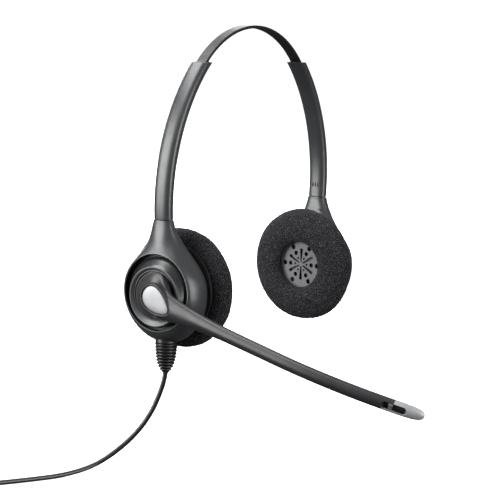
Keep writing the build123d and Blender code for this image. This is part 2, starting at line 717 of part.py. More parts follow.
def mic_slot(grow=0.0):
    """The sound slot in the boom's outer face, over the microphone."""
    middle = CAP_START + SLOT_LENGTH / 2 - 5.5
    outline = SlotOverall(SLOT_LENGTH + 2 * grow, SLOT_HEIGHT + 2 * grow)
    face = boom_frame(middle) * Pos(-BOOM_DEPTH / 2 - 1, 0, 0) * Rot(0, 90, 0)
    return face * extrude(outline, 1 + SLOT_DEPTH + grow)


def insert_outline(grow):
    """An egg-shaped outline, blunt over the hub and pointed towards the boom."""
    half, width = INSERT_LENGTH / 2, INSERT_WIDTH / 2 + grow
    nose = half + grow
    return make_face(
        Spline([(nose, 0), (-half * 0.25, width), (-nose, 0)], tangents=[(0, 1), (0, -1)])
        + Spline([(-nose, 0), (-half * 0.25, -width), (nose, 0)], tangents=[(0, -1), (0, 1)])
    )


def insert_place(depth):
    """The insert's plane under the dome's flat top: x along the boom, z outward."""
    origin = (INSERT_ALONG, BOOM_X - DOME_TOP_X + depth, INSERT_RISE)
    tilt = math.radians(INSERT_TILT)
    return Plane(origin=origin, x_dir=(math.cos(tilt), 0, -math.sin(tilt)), z_dir=(0, -1, 0))


def boom_arm():
    """The boom's one-piece body: a dome over the hub that flares into a slim oval arm."""
    drop = Pos(-BOOM_DROP * math.sin(P), 0, BOOM_DROP * math.cos(P))
    foot_y = BOOM_X - HUB_X - HUB_FLANGE - PART_GAP
    foot = Plane(origin=(0, foot_y, 0), z_dir=(0, -1, 0)) * Circle(HUB_RADIUS - 0.3)
    crown_origin = (DOME_TOP_ALONG, BOOM_X - DOME_TOP_X, INSERT_RISE)
    crown = Plane(origin=crown_origin, z_dir=(0, -1, 0)) * Circle(DOME_TOP_RADIUS)
    dome = loft([drop * foot, crown])
    wide = Ellipse(BOOM_ROOT_DEPTH / 2, BOOM_ROOT_HEIGHT / 2)
    middle = Ellipse((BOOM_ROOT_DEPTH + BOOM_DEPTH) / 4, BOOM_HEIGHT / 2 + 2.4)
    flare = loft([boom_frame(0) * wide, boom_frame(16) * middle, boom_frame(BOOM_FLARE) * ARM_OVAL])
    arm = dome + flare + boom_stretch(ARM_OVAL, BOOM_FLARE, CAP_START)
    arm -= boom_stretch(Circle(BOOM_BORE), CORE_START - PART_GAP, CAP_START + 1)
    arm -= insert_place(INSERT_THICK) * extrude(insert_outline(INSERT_GAP), 6)
    arm -= mic_slot()
    arm -= boom_frame(CAP_START - 5) * extrude(Circle(MIC_RADIUS + BOOT_WALL + PART_GAP), 6)
    return BOOM_PLANE * arm


def boom_insert():
    return BOOM_PLANE * (insert_place(INSERT_THICK - PART_GAP) * extrude(insert_outline(0), INSERT_THICK))


def boom_core():
    return BOOM_PLANE * boom_stretch(Circle(CORE_RADIUS), CORE_START, CAP_START - 5.2)


def mic_capsule():
    return BOOM_PLANE * (boom_frame(CAP_START - 2.2) * extrude(Circle(MIC_RADIUS), MIC_THICK))


def mic_boot():
    tube = Circle(MIC_RADIUS + BOOT_WALL) - Circle(MIC_RADIUS + PART_GAP)
    boot = boom_frame(CAP_START - 4.8) * extrude(tube, 4.7)
    return BOOM_PLANE * (boot - mic_slot(0.1))


def mic_cap():
    """The bright cap on the boom's end, with a rounded nose."""
    start, knee = CAP_START + PART_GAP, BOOM_LENGTH - CAP_NOSE
    blunt = Ellipse(BOOM_DEPTH / 2 - 1.3, BOOM_HEIGHT / 2 - 1.5)
    cap = boom_stretch(ARM_OVAL, start, knee)
    cap += loft([boom_frame(knee) * ARM_OVAL, boom_frame(BOOM_LENGTH) * blunt])
    return BOOM_PLANE * (cap - mic_slot())


# ---- strain relief, cord, coil and connector ----


def strain_relief():
    top, bottom = COLLAR_Z - PART_GAP, RELIEF_BOTTOM_Z
    pitch = (top - bottom - 1.5) / RIB_COUNT
    cone = Plane(origin=(EXIT_X, EXIT_Y, bottom)) * Circle(RELIEF_BOTTOM_RADIUS)
    body = loft([cone, Plane(origin=(EXIT_X, EXIT_Y, top)) * Circle(RELIEF_TOP_RADIUS)])
    taper = (RELIEF_TOP_RADIUS - RELIEF_BOTTOM_RADIUS) / (top - bottom)
    for i in range(RIB_COUNT):
        z = top - 0.9 - i * pitch
        radius = RELIEF_TOP_RADIUS - taper * (top - z)
        gap = pitch * (1 - RIB_SHARE)
        body -= Pos(EXIT_X, EXIT_Y, z) * (Cylinder(radius + 1, gap) - Cylinder(radius - RIB_DEPTH, gap))
    low = (Align.CENTER, Align.CENTER, Align.MIN)
    cavity_floor = HOUSING_Z - HOUSING_RADIUS + WALL + 1.2
    body += Pos(EXIT_X, EXIT_Y, top) * Cylinder(RELIEF_NECK_RADIUS, cavity_floor - top, align=low)
    return body + Pos(EXIT_X, EXIT_Y, cavity_floor) * Box(*RELIEF_FLANGE, align=low)


CORD_REST_Z = FLOOR_Z + CORD_RADIUS
OUTER_TURN = COIL_MID_RADIUS + (COIL_LAYERS - 1) / 2 * CORD_DIAMETER
ENTRY = math.radians(COIL_ENTRY_ANGLE)
COIL_ENTRY = (COIL_CENTRE[0] + OUTER_TURN * math.cos(ENTRY), COIL_CENTRE[1] + OUTER_TURN * math.sin(ENTRY))
CORD_ROUTE = [
    (EXIT_X, EXIT_Y, RELIEF_BOTTOM_Z),
    (-65.4, -1.9, -166.0),
    (-66.4, -0.5, -172.0),
    (-68.6, 2.4, -181.5),
    (-72.6, 7.2, -191.2),
    (-79.0, 13.9, -200.4),
    (-88.6, 21.3, -207.9),
    (-101.8, 27.9, CORD_REST_Z),
    (-117.0, 33.9, CORD_REST_Z),
    (-131.4, 40.8, CORD_REST_Z),
    (COIL_ENTRY[0], COIL_ENTRY[1], CORD_REST_Z),
]
COIL_TOP_TURN_Z = FLOOR_Z + COIL_SIDE - CORD_RADIUS
CONNECTOR_Z = FLOOR_Z + CONNECTOR_SIZE[2] / 2
TAIL_X = COIL_CENTRE[0] - OUTER_TURN
BOOT_START_Y = COIL_CENTRE[1] + TAIL_LENGTH
TAIL_ROUTE = [
    (TAIL_X, COIL_CENTRE[1], COIL_TOP_TURN_Z),
    (TAIL_X, COIL_CENTRE[1] + 0.3 * TAIL_LENGTH, COIL_TOP_TURN_Z),
    (TAIL_X, COIL_CENTRE[1] + 0.65 * TAIL_LENGTH, CONNECTOR_Z),
    (TAIL_X, BOOT_START_Y, CONNECTOR_Z),
]


def corner_radii(route):
    """For each corner, 0.45 of its shorter run over the tangent of half its turn."""
    points = [Vector(*p) for p in route]
    radii = []
    for before, corner, after in zip(points, points[1:], points[2:]):
        run_in, run_out = corner - before, after - corner
        half_turn = math.radians(run_in.get_angle(run_out)) / 2
        radii.append(0.45 * min(run_in.length, run_out.length) / math.tan(half_turn))
    return radii


def cord_tube(route, name):
    radii = corner_radii(route)
    path = FilletPolyline(*route, radius=radii)
    tube = sweep(Plane(origin=path @ 0, z_dir=path % 0) * Circle(CORD_RADIUS), path)
    print(name, "radii", [round(r, 1) for r in radii], "length", round(path.length, 1))
    expected = math.pi * CORD_RADIUS**2 * path.length
    print(name, "volume", round(tube.volume, 1), "expected", round(expected, 1))
    return tube


def cord_coil():
    mid = (COIL_CENTRE[0], COIL_CENTRE[1], FLOOR_Z + COIL_SIDE / 2)
    outer, inner = COIL_MID_RADIUS + COIL_SIDE / 2, COIL_MID_RADIUS - COIL_SIDE / 2
    return Pos(*mid) * (Cylinder(outer, COIL_SIDE) - Cylinder(inner, COIL_SIDE))


# ---- quick-disconnect connector: x along it from the boot, z up from its middle ----

CONNECTOR_Y = BOOT_START_Y + BOOT_LENGTH
CONNECTOR_PLANE = Plane(origin=(TAIL_X, CONNECTOR_Y, CONNECTOR_Z), x_dir=(0, 1, 0), z_dir=(0, 0, 1))


def half_shell(sign):
    """One half of the connector's body, hollow, above or below its middle plane."""
    length, width, height = CONNECTOR_SIZE
    outline = Pos(length / 2, 0) * RectangleRounded(length, width, CONNECTOR_CORNER)
    hollow = Pos(length / 2, 0) * RectangleRounded(
        length - 2 * CONNECTOR_WALL, width - 2 * CONNECTOR_WALL, CONNECTOR_CORNER - CONNECTOR_WALL
    )
    body = extrude(outline, sign * height / 2) - extrude(hollow, sign * (height / 2 - CONNECTOR_WALL))
    return body - Pos(0, 0, sign * -0.01) * extrude(outline, -sign * PART_GAP)


def connector_upper_shell():
    return CONNECTOR_PLANE * half_shell(1)


def connector_lower_shell():
    length, width, height = CONNECTOR_TONGUE
    tongue = Pos(CONNECTOR_SIZE[0] + length / 2, 0, 0) * Box(length, width, height)
    root = Pos(CONNECTOR_SIZE[0] - 0.5, 0, -height / 4) * Box(1, width, height / 2)
    return CONNECTOR_PLANE * (half_shell(-1) + tongue + root)


def connector_contacts():
    length, width, height = CONTACT_SIZE
    strips = []
    for i in range(CONTACT_COUNT):
        y = (i - (CONTACT_COUNT - 1) / 2) * CONTACT_PITCH
        x = CONNECTOR_SIZE[0] + CONNECTOR_TONGUE[0] / 2
        place = CONNECTOR_PLANE * Pos(x, y, (CONNECTOR_TONGUE[2] + height) / 2)
        strips.append(place * Box(length, width, height))
    return Compound(children=strips)


def connector_boot():
    small, large = BOOT_RADII
    near = Plane(origin=(TAIL_X, BOOT_START_Y, CONNECTOR_Z), z_dir=(0, 1, 0)) * Circle(small)
    far = Plane(origin=(TAIL_X, CONNECTOR_Y, CONNECTOR_Z), z_dir=(0, 1, 0)) * Circle(large)
    return loft([near, far])


nodes = {
    "headband_strap": headband_strap(),
    "headband_spring": headband_spring(),
    "link_wire": link_wire(),
    "slider_rivets": slider_rivets(),
    "turret_base": other_side(turret_base()),
    "left_cap": side_cap(),
    "terminal_board": other_side(terminal_board()),
    "boom_hub": boom_hub(),
    "detent_washer": detent_washer(),
    "boom_clip": boom_clip(),
    "boom_arm": boom_arm(),
    "boom_insert": boom_insert(),
    "boom_core": boom_core(),
    "mic_capsule": mic_capsule(),
    "mic_boot": mic_boot(),
    "mic_cap": mic_cap(),
    "strain_relief": strain_relief(),
    "cord": cord_tube(CORD_ROUTE, "cord"),
    "cord_coil": cord_coil(),
    "cord_tail": cord_tube(TAIL_ROUTE, "tail"),
    "connector_upper_shell": connector_upper_shell(),
    "connector_lower_shell": connector_lower_shell(),
    "connector_contacts": connector_contacts(),
    "connector_boot": connector_boot(),
}
PAIRED = {
    "slider": slider, "detent_leaf": detent_leaf, "swivel_pin": swivel_pin, "swivel_clip": swivel_clip,
    "cover_screws": cover_screws, "capsule_frame": capsule_frame, "grille": grille,
    "diaphragm": diaphragm, "driver_basket": driver_basket, "magnet_yoke": magnet_yoke,
    "magnet": magnet, "voice_coil": voice_coil, "cushion": cushion,
}
SIDED = {
    "arm_shell": arm_shell, "arm_cover": arm_cover, "arm_guide": arm_guide,
    "housing_shell": housing_shell, "housing_cover": housing_cover,
}
for name, make in PAIRED.items():
    nodes["left_" + name] = make()
    nodes["right_" + name] = other_side(nodes["left_" + name])
for name, make in SIDED.items():
    nodes["left_" + name] = make("left")
    nodes["right_" + name] = other_side(make("right"))

for name, shape in nodes.items():
    export_step(shape, f"parts/{name}.step")
print(len(nodes), "nodes")
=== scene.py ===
import bmesh
import bpy
import json
import math
import random
from mathutils import Matrix, Vector


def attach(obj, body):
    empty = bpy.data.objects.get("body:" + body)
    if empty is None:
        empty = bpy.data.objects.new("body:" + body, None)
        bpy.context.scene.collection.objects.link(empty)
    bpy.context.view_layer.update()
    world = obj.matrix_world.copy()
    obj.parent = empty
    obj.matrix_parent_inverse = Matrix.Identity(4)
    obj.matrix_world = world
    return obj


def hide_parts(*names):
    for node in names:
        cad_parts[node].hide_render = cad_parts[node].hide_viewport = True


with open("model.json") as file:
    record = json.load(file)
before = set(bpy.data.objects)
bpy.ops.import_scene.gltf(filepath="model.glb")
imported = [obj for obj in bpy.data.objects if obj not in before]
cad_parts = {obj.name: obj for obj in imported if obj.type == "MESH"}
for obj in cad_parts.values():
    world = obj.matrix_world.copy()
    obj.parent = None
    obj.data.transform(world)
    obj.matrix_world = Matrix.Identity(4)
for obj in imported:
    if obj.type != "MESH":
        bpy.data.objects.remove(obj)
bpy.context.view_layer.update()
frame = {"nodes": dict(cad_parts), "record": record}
NODES = frame["nodes"]
scene = bpy.context.scene
MM = 0.001

# The wearer's right ear, with the boom and the cord, is at -X; all sizes below are in millimetres.
EAR_Y, EAR_Z, HUB_Z = -1.7, -122.9, -124.1
SEAM = (66.763, -88.84)  # middle of the cut between arm and housing, as (distance to the side, height)
FLOOR_Z = -212.0
CORD_RADIUS = 1.2
SIDES = {"left": 1, "right": -1}  # each side's sign along X


def vec(p):
    return Vector(p) * MM


def clamp(value):
    return max(0.0, min(1.0, value))


def ease(f):
    """From 0 to 1, level at both ends."""
    return f * f * (3 - 2 * f)


def around(n):
    """The angles of n points spaced evenly round a circle."""
    return [2 * math.pi * j / n for j in range(n)]


# ---- materials ----


class Shader:
    """A small helper that builds one material's nodes."""

    def __init__(self, name, **sockets):
        self.mat = bpy.data.materials.new(name)
        self.mat.use_nodes = True
        self.tree = self.mat.node_tree
        self.bsdf = self.tree.nodes["Principled BSDF"]
        for key, value in sockets.items():
            self.bsdf.inputs[key.replace("_", " ")].default_value = value
        self.coords = self.tree.nodes.new("ShaderNodeTexCoord").outputs["Object"]

    def node(self, kind, links=(), **values):
        n = self.tree.nodes.new("ShaderNode" + kind)
        for key, value in values.items():
            if key in n.inputs:
                n.inputs[key].default_value = value
            else:
                setattr(n, key, value)
        for key, out in dict(links).items():
            self.tree.links.new(out, n.inputs[key])
        return n

    def noise(self, scale, detail, rough=0.55):
        return self.node("TexNoise", {"Vector": self.coords}, Scale=scale, Detail=detail, Roughness=rough)

    def spread(self, source, low, high):
        """A noise's middle range, spread from low to high."""
        n = self.node("MapRange", {"Value": source})
        for key, value in {"From Min": 0.3, "From Max": 0.7, "To Min": low, "To Max": high}.items():
            n.inputs[key].default_value = value
        return n.outputs["Result"]

    def ramp(self, source, stops):
        n = self.node("ValToRGB", {"Fac": source})
        cr = n.color_ramp
        while len(cr.elements) < len(stops):
            cr.elements.new(0.5)
        for e, (pos, color) in zip(cr.elements, stops):
            e.position = pos
            e.color = (*color, 1.0)
        return n.outputs["Color"]

    def to(self, socket, out):
        self.tree.links.new(out, self.bsdf.inputs[socket])

    def bump(self, height, strength, distance):
        n = self.node("Bump", {"Height": height}, Strength=strength, Distance=distance)
        self.to("Normal", n.outputs["Normal"])


def shade(color, factor):
    return tuple(min(1.0, c * factor) for c in color)


def moulded(name, color, rough, coat=0.0, grain=0.6, metallic=0.0):
    """Fine-textured moulded plastic: a spark-eroded grain, and slow changes of tone and gloss."""
    s = Shader(name, Coat_Weight=coat, Coat_Roughness=0.36, Metallic=metallic)
    tone = s.noise(60, 4)
    s.to("Base Color", s.ramp(tone.outputs["Fac"], [(0.3, shade(color, 0.9)), (0.7, shade(color, 1.1))]))
    gloss = s.noise(140, 3)
    s.to("Roughness", s.spread(gloss.outputs["Fac"], rough - 0.04, rough + 0.05))
    fine = s.noise(5200, 2, 0.6)
    s.bump(fine.outputs["Fac"], 0.12 * grain, 0.00006)
    return s.mat


def metal(name, color, rough):
    s = Shader(name, Metallic=1.0)
    s.bsdf.inputs["Base Color"].default_value = (*color, 1.0)
    gloss = s.noise(420, 4)
    s.to("Roughness", s.spread(gloss.outputs["Fac"], rough - 0.05, rough + 0.07))
    s.bump(s.noise(2600, 2).outputs["Fac"], 0.08, 0.00004)
    return s.mat


def foam_material():
    """Open-cell foam: near-black with cells that catch a little light."""
    s = Shader("ear_foam", Roughness=0.9, Sheen_Weight=0.04, Sheen_Roughness=0.5)
    s.bsdf.inputs["Specular IOR Level"].default_value = 0.25
    s.bsdf.inputs["Sheen Tint"].default_value = (0.75, 0.72, 0.8, 1.0)
    cells = s.node("TexVoronoi", {"Vector": s.coords}, Scale=2500.0, Randomness=1.0)
    cloud = s.noise(1700, 4, 0.75)
    mixed = s.node("Math", {0: cells.outputs["Distance"], 1: cloud.outputs["Fac"]}, operation="MULTIPLY")
    stops = [(0.14, (0.001, 0.001, 0.0012)), (0.27, (0.008, 0.0075, 0.0095)), (0.42, (0.085, 0.08, 0.092))]
    s.to("Base Color", s.ramp(mixed.outputs[0], stops))
    s.bump(mixed.outputs[0], 1.0, 0.0009)
    return s.mat


CHARCOAL = moulded("charcoal_shell", (0.033, 0.0355, 0.0375), 0.35, coat=0.3)
BOOM_DARK = moulded("charcoal_boom", (0.021, 0.0200, 0.0222), 0.38, coat=0.1)
TURRET = moulded("turret_black", (0.014, 0.015, 0.016), 0.26, coat=0.4, grain=0.2)
FACE = moulded("turret_face_grey", (0.050, 0.052, 0.054), 0.34, coat=0.2)
# Painted highlight: a lighter grey than the shell, put on the pocket's rim bead to show the thin light line
# round its edge.
RIM_PAINTED_HIGHLIGHT = moulded("rim_painted_highlight", (0.13, 0.135, 0.14), 0.3, grain=0.2)
BLACK = moulded("black_plastic", (0.006, 0.006, 0.0065), 0.5)
STRAP = moulded("strap_black", (0.007, 0.0072, 0.0078), 0.46)
SILVER = moulded("silver_paint", (0.36, 0.365, 0.375), 0.42, grain=0.4, metallic=0.35)
GRILLE = moulded("grille_grey", (0.12, 0.12, 0.128), 0.45)
RUBBER = moulded("rubber_black", (0.010, 0.010, 0.011), 0.38, grain=1.5)
CORD = moulded("cord_black", (0.010, 0.010, 0.0115), 0.30, coat=0.25)
FOAM = foam_material()
STEEL = metal("bright_steel", (0.62, 0.62, 0.64), 0.28)
GOLD = metal("contact_gold", (0.83, 0.65, 0.30), 0.25)
COPPER = metal("coil_copper", (0.72, 0.36, 0.20), 0.32)
FILM = moulded("clear_film", (0.010, 0.010, 0.011), 0.4)
BOARD = moulded("board_green", (0.02, 0.12, 0.05), 0.35)
RED_WIRE = moulded("wire_red", (0.25, 0.02, 0.02), 0.4)

BY_SLOT = {
    "strap": STRAP, "spring_steel": STEEL, "wire": RED_WIRE, "inner_plastic": BLACK, "shell": CHARCOAL,
    "grille": GRILLE, "silver": SILVER, "foam": FOAM, "film": FILM, "steel": STEEL, "magnet": STEEL,
    "copper": COPPER, "board": BOARD, "cord": RUBBER, "contacts": GOLD,
}
SLOT_OF = {e["node"]: e["material_slot"] for e in frame["record"]["subparts"]}
for node_name, obj in NODES.items():
    obj.data.materials.clear()
    obj.data.materials.append(BY_SLOT[SLOT_OF[node_name]])


# ---- mesh helpers ----


def make_mesh(name, verts, faces, mat, body, sharp=35.0):
    mesh = bpy.data.meshes.new(name)
    mesh.from_pydata([vec(v) for v in verts], [], faces)
    mesh.validate()
    work = bmesh.new()
    work.from_mesh(mesh)
    bmesh.ops.recalc_face_normals(work, faces=work.faces)
    work.to_mesh(mesh)
    work.free()
    obj = bpy.data.objects.new(name, mesh)
    scene.collection.objects.link(obj)
    mesh.materials.append(mat)
    mesh.shade_smooth()
    if sharp:
        mesh.set_sharp_from_angle(angle=math.radians(sharp))
    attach(obj, body)
    return obj


def grid_faces(rings, n):
    """Quads between successive closed rings of n points each."""
    faces = []
    for i in range(rings - 1):
        for j in range(n):
            a, b = i * n + j, i * n + (j + 1) % n
            faces.append((a, b, b + n, a + n))
    return faces


LATHE_POINTS = 200


def lathe(name, profile, mat, body, centre_z):
    """A piece turned about an ear's axis, from (distance to the right, radius) pairs."""
    verts = []
    for (x, r), z in zip(profile, centre_z):
        verts += [(-x, EAR_Y + r * math.cos(a), z + r * math.sin(a)) for a in around(LATHE_POINTS)]
    faces = [tuple(reversed(f)) for f in grid_faces(len(profile), LATHE_POINTS)]
    return make_mesh(name, verts, faces, mat, body, sharp=28.0)


def smooth_table(table, t):
    """Catmull-Rom through a table of (place, value)."""
    xs = [a for a, _ in table]
    ys = [b for _, b in table]
    if t <= xs[0]:
        return ys[0]
    if t >= xs[-1]:
        return ys[-1]
    i = max(k for k in range(len(xs) - 1) if xs[k] <= t)

    def slope(k):
        if k == 0:
            return (ys[1] - ys[0]) / (xs[1] - xs[0])
        if k == len(xs) - 1:
            return (ys[-1] - ys[-2]) / (xs[-1] - xs[-2])
        return (ys[k + 1] - ys[k - 1]) / (xs[k + 1] - xs[k - 1])

    h = xs[i + 1] - xs[i]
    f = (t - xs[i]) / h
    m0, m1 = slope(i) * h, slope(i + 1) * h
    return (
        (2 * f**3 - 3 * f**2 + 1) * ys[i] + (f**3 - 2 * f**2 + f) * m0
        + (-2 * f**3 + 3 * f**2) * ys[i + 1] + (f**3 - f**2) * m1
    )


def smax(a, b, k):
    """Smooth maximum of two values."""
    h = max(k - abs(a - b), 0.0) / k
    return max(a, b) + h * h * k * 0.25


# ---- camera ----

camera_data = bpy.data.cameras.new("camera")
camera_data.sensor_width = 36.0
camera_data.lens = 146.452
camera_data.clip_start = 0.01
camera_data.clip_end = 20.0
camera = bpy.data.objects.new("camera", camera_data)
scene.collection.objects.link(camera)
camera.location = vec((-827.4665, -571.5146, 39.6497))
look = Vector((0.81568854, 0.55937918, -0.14746911))
right = Vector((0.56930157, -0.82146775, 0.03296155))
up = Vector((0.10270311, 0.11084075, 0.98851727))
camera.rotation_mode = "QUATERNION"
camera.rotation_quaternion = Matrix((right, up, -look)).transposed().to_quaternion()
scene.camera = camera

# ---- cord: the free run, the coil just outside the view, and the tail to the connector ----

CORD_ROUTE = [
    (-65.2, -2.3, -162.4), (-65.4, -1.9, -166.0), (-66.4, -0.5, -172.0), (-68.6, 2.4, -181.5),
    (-72.6, 7.2, -191.2), (-79.0, 13.9, -200.4), (-88.6, 21.3, -207.9), (-101.8, 27.9, -210.8),
    (-117.0, 33.9, -210.8), (-131.4, 40.8, -210.8),
]
COIL_CENTRE = (-138.0, 62.5)
COIL_LEVELS = (-210.8, -208.4, -206.0)
COIL_TURNS = [(15.8, 0), (13.4, 0), (11.0, 0), (11.0, 1), (13.4, 1), (15.8, 1), (15.8, 2)]  # (radius, level)
COIL_START, COIL_END = math.radians(-116.6), math.radians(180.0)
COIL_POINTS_PER_TURN = 14
SHIFT_FROM, SHIFT_SPAN = 0.7, 0.3  # the shares of a turn in which the cord moves over to the next one
TAIL_ROUTE = [(-153.8, 69.1, -206.0), (-153.8, 76.8, -207.8), (-153.8, 84.5, -207.8)]


def coil_points():
    """The wound turns, clockwise: inwards on the floor, outwards on the second layer, one turn on top."""
    last = len(COIL_TURNS) - 1
    turns = len(COIL_TURNS) + (COIL_START - COIL_END) % (2 * math.pi) / (2 * math.pi)
    total = int(round(turns * COIL_POINTS_PER_TURN))
    outside = 1 / math.cos(math.pi / COIL_POINTS_PER_TURN) ** 2
    pts = []
    for i in range(total + 1):
        t = turns * i / total
        k = min(int(t), last)
        (r, level), (next_r, next_level) = COIL_TURNS[k], COIL_TURNS[min(k + 1, last)]
        f = ease(max(0.0, (t - k - SHIFT_FROM) / SHIFT_SPAN)) if k < last else 0.0
        r += (next_r - r) * f
        z = COIL_LEVELS[level] + (COIL_LEVELS[next_level] - COIL_LEVELS[level]) * f
        a = COIL_START - 2 * math.pi * t
        # The curve runs inside its points, so all but the ends are moved out by half the difference.
        grow = 1 + (outside - 1) * 0.5 if 0 < i < total else 1.0
        pts.append((COIL_CENTRE[0] + r * grow * math.cos(a), COIL_CENTRE[1] + r * grow * math.sin(a), z))
    return pts


def nurbs(name, points, radius, mat, body):
    curve = bpy.data.curves.new(name, "CURVE")
    curve.dimensions = "3D"
    curve.bevel_depth = radius * MM
    curve.bevel_resolution = 6
    curve.resolution_u = 8
    curve.use_fill_caps = True
    spline = curve.splines.new("NURBS")
    spline.points.add(len(points) - 1)
    for p, q in zip(spline.points, points):
        p.co = (*vec(q), 1.0)
    spline.order_u = 3
    spline.use_endpoint_u = True
    curve.materials.append(mat)
    obj = bpy.data.objects.new(name, curve)
    scene.collection.objects.link(obj)
    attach(obj, body)
    return obj


route = CORD_ROUTE + coil_points() + TAIL_ROUTE
cord = nurbs("headset_cord", route, CORD_RADIUS, CORD, "right_earpiece")
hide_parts("cord", "cord_coil", "cord_tail")

# ---- floor and light ----

FLOOR_SPAN = 60000.0  # from the middle to each side


def floor_plane():
    """A white sweep far wider than the view, seen by the camera and lit softly."""
    corners = [(i * FLOOR_SPAN, j * FLOOR_SPAN, FLOOR_Z) for i, j in ((-1, -1), (1, -1), (1, 1), (-1, 1))]
    mesh = bpy.data.meshes.new("floor")
    mesh.from_pydata([vec(c) for c in corners], [], [(0, 1, 2, 3)])
    obj = bpy.data.objects.new("floor", mesh)
    scene.collection.objects.link(obj)
    paper = Shader("floor_paper", Roughness=0.9, Emission_Color=(1.0, 1.0, 1.0, 1.0), Emission_Strength=0.85)
    stops = [(0.3, (0.88, 0.88, 0.88)), (0.7, (0.92, 0.92, 0.92))]
    paper.to("Base Color", paper.ramp(paper.noise(3, 2).outputs["Fac"], stops))
    mesh.materials.append(paper.mat)
    obj.visible_diffuse = False
    obj.visible_glossy = False


floor_plane()


def studio_world(below, above, behind_camera):
    """A dim room, darker below, which the camera sees as white."""
    world = bpy.data.worlds.new("studio")
    scene.world = world
    world.use_nodes = True
    nodes, links = world.node_tree.nodes, world.node_tree.links
    room = nodes["Background"]
    split = nodes.new("ShaderNodeSeparateXYZ")
    ramp = nodes.new("ShaderNodeValToRGB")
    links.new(nodes.new("ShaderNodeTexCoord").outputs["Generated"], split.inputs["Vector"])
    height = nodes.new("ShaderNodeMapRange")
    height.inputs["From Min"].default_value = -1.0
    links.new(split.outputs["Z"], height.inputs["Value"])
    links.new(height.outputs["Result"], ramp.inputs["Fac"])
    ramp.color_ramp.elements[0].position = 0.42
    ramp.color_ramp.elements[0].color = (below, below, below, 1.0)
    ramp.color_ramp.elements[1].position = 0.85
    ramp.color_ramp.elements[1].color = (above, above, above, 1.0)
    links.new(ramp.outputs["Color"], room.inputs["Color"])
    white = nodes.new("ShaderNodeBackground")
    white.inputs["Strength"].default_value = behind_camera
    seen = nodes.new("ShaderNodeLightPath")
    mix = nodes.new("ShaderNodeMixShader")
    links.new(seen.outputs["Is Camera Ray"], mix.inputs["Fac"])
    links.new(room.outputs["Background"], mix.inputs[1])
    links.new(white.outputs["Background"], mix.inputs[2])
    links.new(mix.outputs["Shader"], nodes["World Output"].inputs["Surface"])


studio_world(below=0.08, above=0.34, behind_camera=1.0)

HEADSET_MIDDLE = (0.0, 0.0, -90.0)


def softbox(name, direction, distance, size, power):
    """A rectangular light that looks at the middle of the headset, in metres."""
    away = Vector(direction).normalized()
    light = bpy.data.lights.new(name, "AREA")
    light.shape = "RECTANGLE"
    light.size, light.size_y = size
    light.energy = power
    obj = bpy.data.objects.new(name, light)
    obj.location = vec(HEADSET_MIDDLE) + away * distance
    obj.rotation_mode = "QUATERNION"
    obj.rotation_quaternion = (-away).to_track_quat("-Z", "Y")
    scene.collection.objects.link(obj)


softbox("side", (-0.80, 0.58, 0.20), 1.1, (0.48, 0.9), 15.0)
softbox("front", (-0.10, -1.0, 0.16), 1.1, (0.8, 0.9), 13.0)
softbox("top", (-0.22, 0.42, 0.88), 1.1, (0.9, 0.5), 11.0)
softbox("back", (0.75, 0.80, 0.40), 1.3, (0.8, 0.9), 11.0)

scene.view_settings.view_transform = "Standard"

# ---- ear cushions ----


# (distance from the middle of the head, radius), from the lip round the front to the back
CUSHION_PROFILE = [
    (50.6, 19.2), (50.55, 15.0), (50.3, 13.1), (49.7, 12.2), (48.6, 11.8), (47.5, 12.3), (46.7, 13.4),
    (46.1, 15.2), (45.9, 17.4), (46.05, 19.6), (46.5, 21.9), (47.3, 24.0), (48.5, 26.0), (50.0, 27.6),
    (51.6, 28.55), (53.2, 28.75), (54.8, 28.2), (56.2, 27.0), (57.1, 25.2), (57.4, 23.0), (57.2, 21.2),
    (56.4, 19.9), (55.0, 19.4), (53.0, 19.25),
]
PROFILE_STEPS, CUSHION_POINTS = 4, 220
CUSHION_SEEDS = {"left": 7, "right": 8}
WAVE_COUNT, WAVE_LOW, WAVE_HIGH = 6, 0.05, 0.14
WAVE_TWIST, WAVE_OUT, WAVE_ALONG = 0.35, 0.8, 0.3
FIRM_RADIUS, SOFT_SPAN = 19.5, 6  # the foam's waves grow outwards from the firm ring


def catmull_rom(a, b, c, d, t):
    """The value between b and c on a smooth curve through four values."""
    square = 2 * a - 5 * b + 4 * c - d
    cube = 3 * b - a - 3 * c + d
    return 0.5 * (2 * b + (c - a) * t + square * t**2 + cube * t**3)


def cushion(side):
    """The foam ring: a turned profile with slow waves, and fine cells pushed into its surface."""
    sign = SIDES[side]
    random.seed(CUSHION_SEEDS[side])
    waves = [
        (random.randint(2, 9), random.uniform(0, 6.28), random.uniform(WAVE_LOW, WAVE_HIGH))
        for _ in range(WAVE_COUNT)
    ]
    fine = []
    m = len(CUSHION_PROFILE)
    for i in range(m):
        near = [CUSHION_PROFILE[(i + k - 1) % m] for k in range(4)]
        for s in range(PROFILE_STEPS):
            fine.append([catmull_rom(*values, s / PROFILE_STEPS) for values in zip(*near)])
    verts = []
    for x, r in fine:
        soft = clamp((r - FIRM_RADIUS) / SOFT_SPAN)
        for a in around(CUSHION_POINTS):
            w = sum(h * math.sin(k * a + ph + x * WAVE_TWIST) for k, ph, h in waves)
            rr = r + w * soft * WAVE_OUT
            verts.append((sign * (x + WAVE_ALONG * w), EAR_Y + rr * math.cos(a), EAR_Z + rr * math.sin(a)))
    faces = [tuple(i % len(verts) for i in f) for f in grid_faces(len(fine) + 1, CUSHION_POINTS)]
    if sign < 0:
        faces = [tuple(reversed(f)) for f in faces]
    obj = make_mesh(f"{side}_ear_foam", verts, faces, FOAM, f"{side}_earpiece", sharp=0)
    texture = bpy.data.textures.new(f"{side}_cells", "CLOUDS")
    texture.noise_scale = 0.0011
    texture.noise_depth = 1
    rough = obj.modifiers.new("cells", "DISPLACE")
    rough.texture = texture
    rough.texture_coords = "LOCAL"
    rough.strength = 0.0006
    rough.mid_level = 0.6
    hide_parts(f"{side}_cushion")


